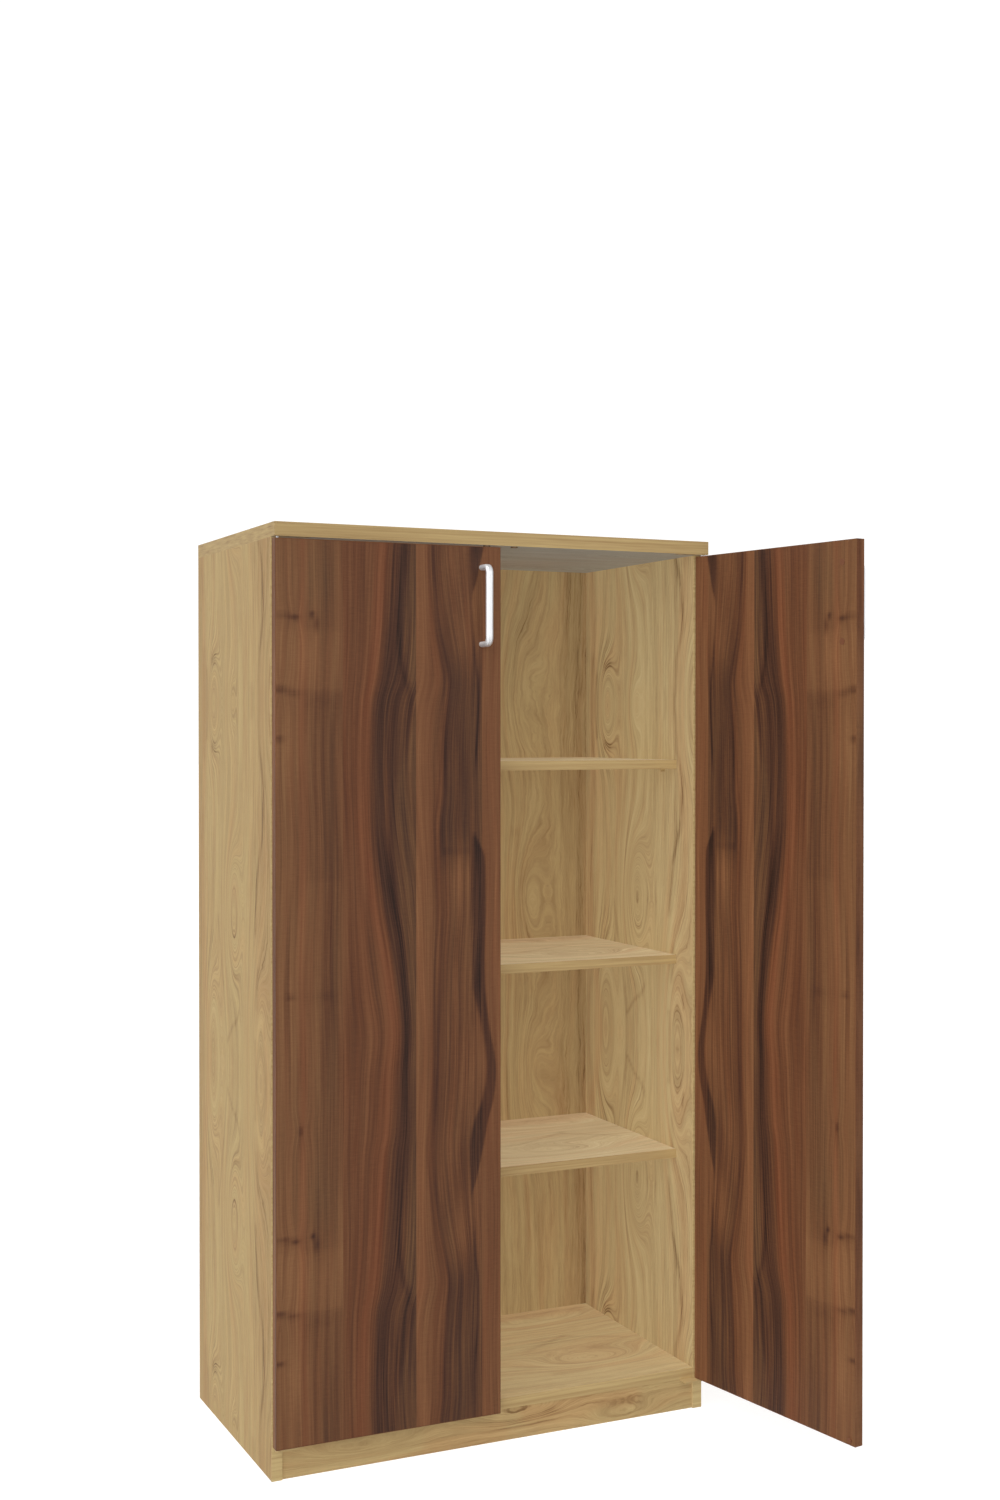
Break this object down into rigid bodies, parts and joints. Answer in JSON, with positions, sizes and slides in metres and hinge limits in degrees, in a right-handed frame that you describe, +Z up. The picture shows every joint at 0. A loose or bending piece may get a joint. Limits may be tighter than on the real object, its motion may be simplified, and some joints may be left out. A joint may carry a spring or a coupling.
{
  "type": "two-door wardrobe",
  "caption": "Tall free-standing wardrobe in light oak board with two dark walnut overlay doors on pivot hinges, shelves inside and bow handles.",
  "frame": {"origin": "middle of the plinth's underside, on the floor, halfway between the side panels", "axes": "+Z up, +Y towards the back, +X to the right as seen from the front"},
  "size_m": [0.8922, 0.8151, 1.54],
  "materials": {
    "oak_board": "light oak foil on particleboard, matt, fine pores",
    "oak_back": "light oak print on hardboard, matt",
    "oak_band": "light oak edge band, matt",
    "walnut_board": "walnut foil on particleboard, silk matt, figured with knots",
    "walnut_band": "walnut edge band, silk matt",
    "walnut_cap": "walnut-coloured moulded plastic",
    "satin_handle": "satin nickel",
    "zinc_steel": "bright zinc plate",
    "straw_steel": "straw lacquer, matched to the oak foil",
    "bronzed_steel": "dark bronze lacquer",
    "nylon": "natural nylon",
    "beech": "plain beech, fluted",
    "brown_pad": "brown soft polyurethane"
  },
  "bodies": {
    "carcass": {"top_panel": "oak_board", "left_side_panel": "oak_board", "right_side_panel": "oak_board", "bottom_panel": "oak_board", "back_panel": "oak_back", "plinth": "oak_board", "upper_shelf": "oak_board", "middle_shelf": "oak_board", "lower_shelf": "oak_board", "top_edge_band": "oak_band", "left_side_edge_band": "oak_band", "right_side_edge_band": "oak_band", "bottom_edge_band": "oak_band", "upper_shelf_edge_band": "oak_band", "middle_shelf_edge_band": "oak_band", "lower_shelf_edge_band": "oak_band", "dowels": "beech", "cam_bolts": "zinc_steel", "cam_housings": "zinc_steel", "shelf_supports": "straw_steel", "plinth_blocks": "nylon", "plinth_block_screws": "zinc_steel", "catch_magnets": "bronzed_steel", "left_top_pivot_plate": "straw_steel", "left_bottom_pivot_bracket": "straw_steel", "left_pivot_pins": "zinc_steel", "left_pivot_washer": "walnut_cap", "left_pivot_screws": "bronzed_steel", "right_top_pivot_plate": "straw_steel", "right_bottom_pivot_bracket": "straw_steel", "right_pivot_pins": "zinc_steel", "right_pivot_washer": "walnut_cap", "right_pivot_screws": "bronzed_steel"},
    "left_door_body": {"left_door": "walnut_board", "left_door_edge_band": "walnut_band", "left_handle": "satin_handle", "left_handle_screws": "zinc_steel", "left_screw_caps": "walnut_cap", "left_door_leaves": "bronzed_steel", "left_pivot_bushes": "walnut_cap", "left_leaf_screws": "bronzed_steel", "left_catch_plate": "zinc_steel", "left_door_pad": "brown_pad"},
    "right_door_body": {"right_door": "walnut_board", "right_door_edge_band": "walnut_band", "right_handle": "satin_handle", "right_handle_screws": "zinc_steel", "right_screw_caps": "walnut_cap", "right_door_leaves": "bronzed_steel", "right_pivot_bushes": "walnut_cap", "right_leaf_screws": "bronzed_steel", "right_catch_plate": "zinc_steel", "right_door_pad": "brown_pad"}
  },
  "joints": [
    {"name": "left_door_hinge", "type": "hinge", "parent": "carcass", "child": "left_door_body", "pos_m": [-0.392, -0.0218, 0.785], "axis": [0, 0, -1], "range_deg": [0, 170]},
    {"name": "right_door_hinge", "type": "hinge", "parent": "carcass", "child": "right_door_body", "pos_m": [0.392, -0.0218, 0.785], "axis": [0, 0, 1], "range_deg": [-99.7, 70.3]}
  ]
}
